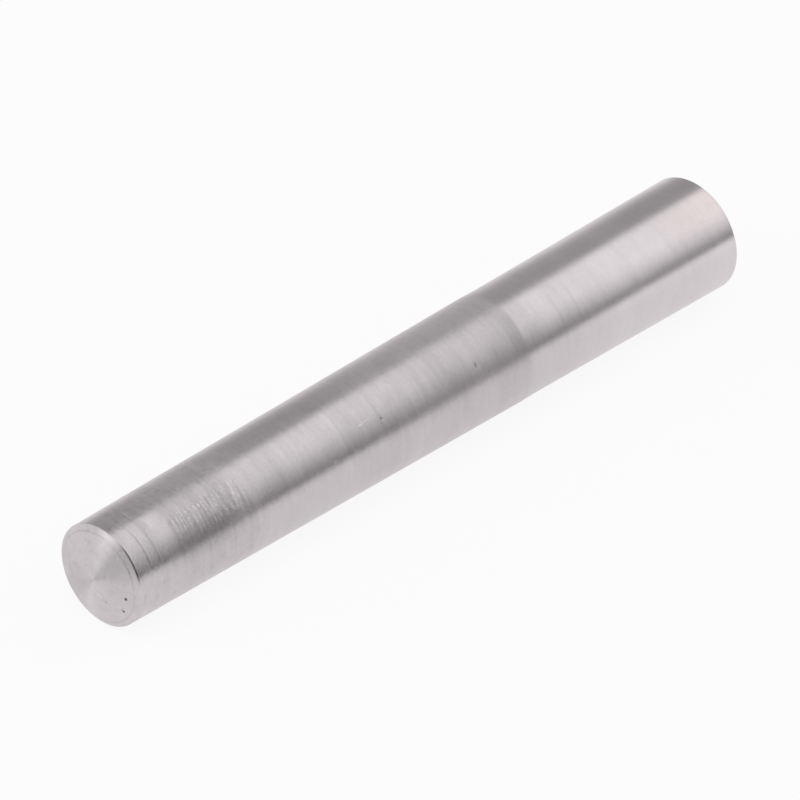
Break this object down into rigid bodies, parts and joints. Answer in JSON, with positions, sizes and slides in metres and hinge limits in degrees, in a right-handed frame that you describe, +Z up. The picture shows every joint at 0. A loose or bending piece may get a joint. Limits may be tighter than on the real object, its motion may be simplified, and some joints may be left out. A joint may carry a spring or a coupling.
{
  "type": "taper pin",
  "caption": "Solid steel pin with a 1:50 taper and crowned ends, driven into a matching reamed hole to lock a hub, collar or lever on its shaft.",
  "frame": {"origin": "centre of the circle of the small end's rim, on the pin's axis, where the named diameter is taken", "axes": "+X along the pin's axis from the small end to the large end, +Z up with the pin lying down, +Y across"},
  "size_m": [0.04, 0.0058, 0.0058],
  "materials": {
    "turned_steel": "bright turned steel with fine rings around the shank and on both crowned ends"
  },
  "bodies": {
    "root": {"taper_pin": "turned_steel"}
  },
  "joints": []
}
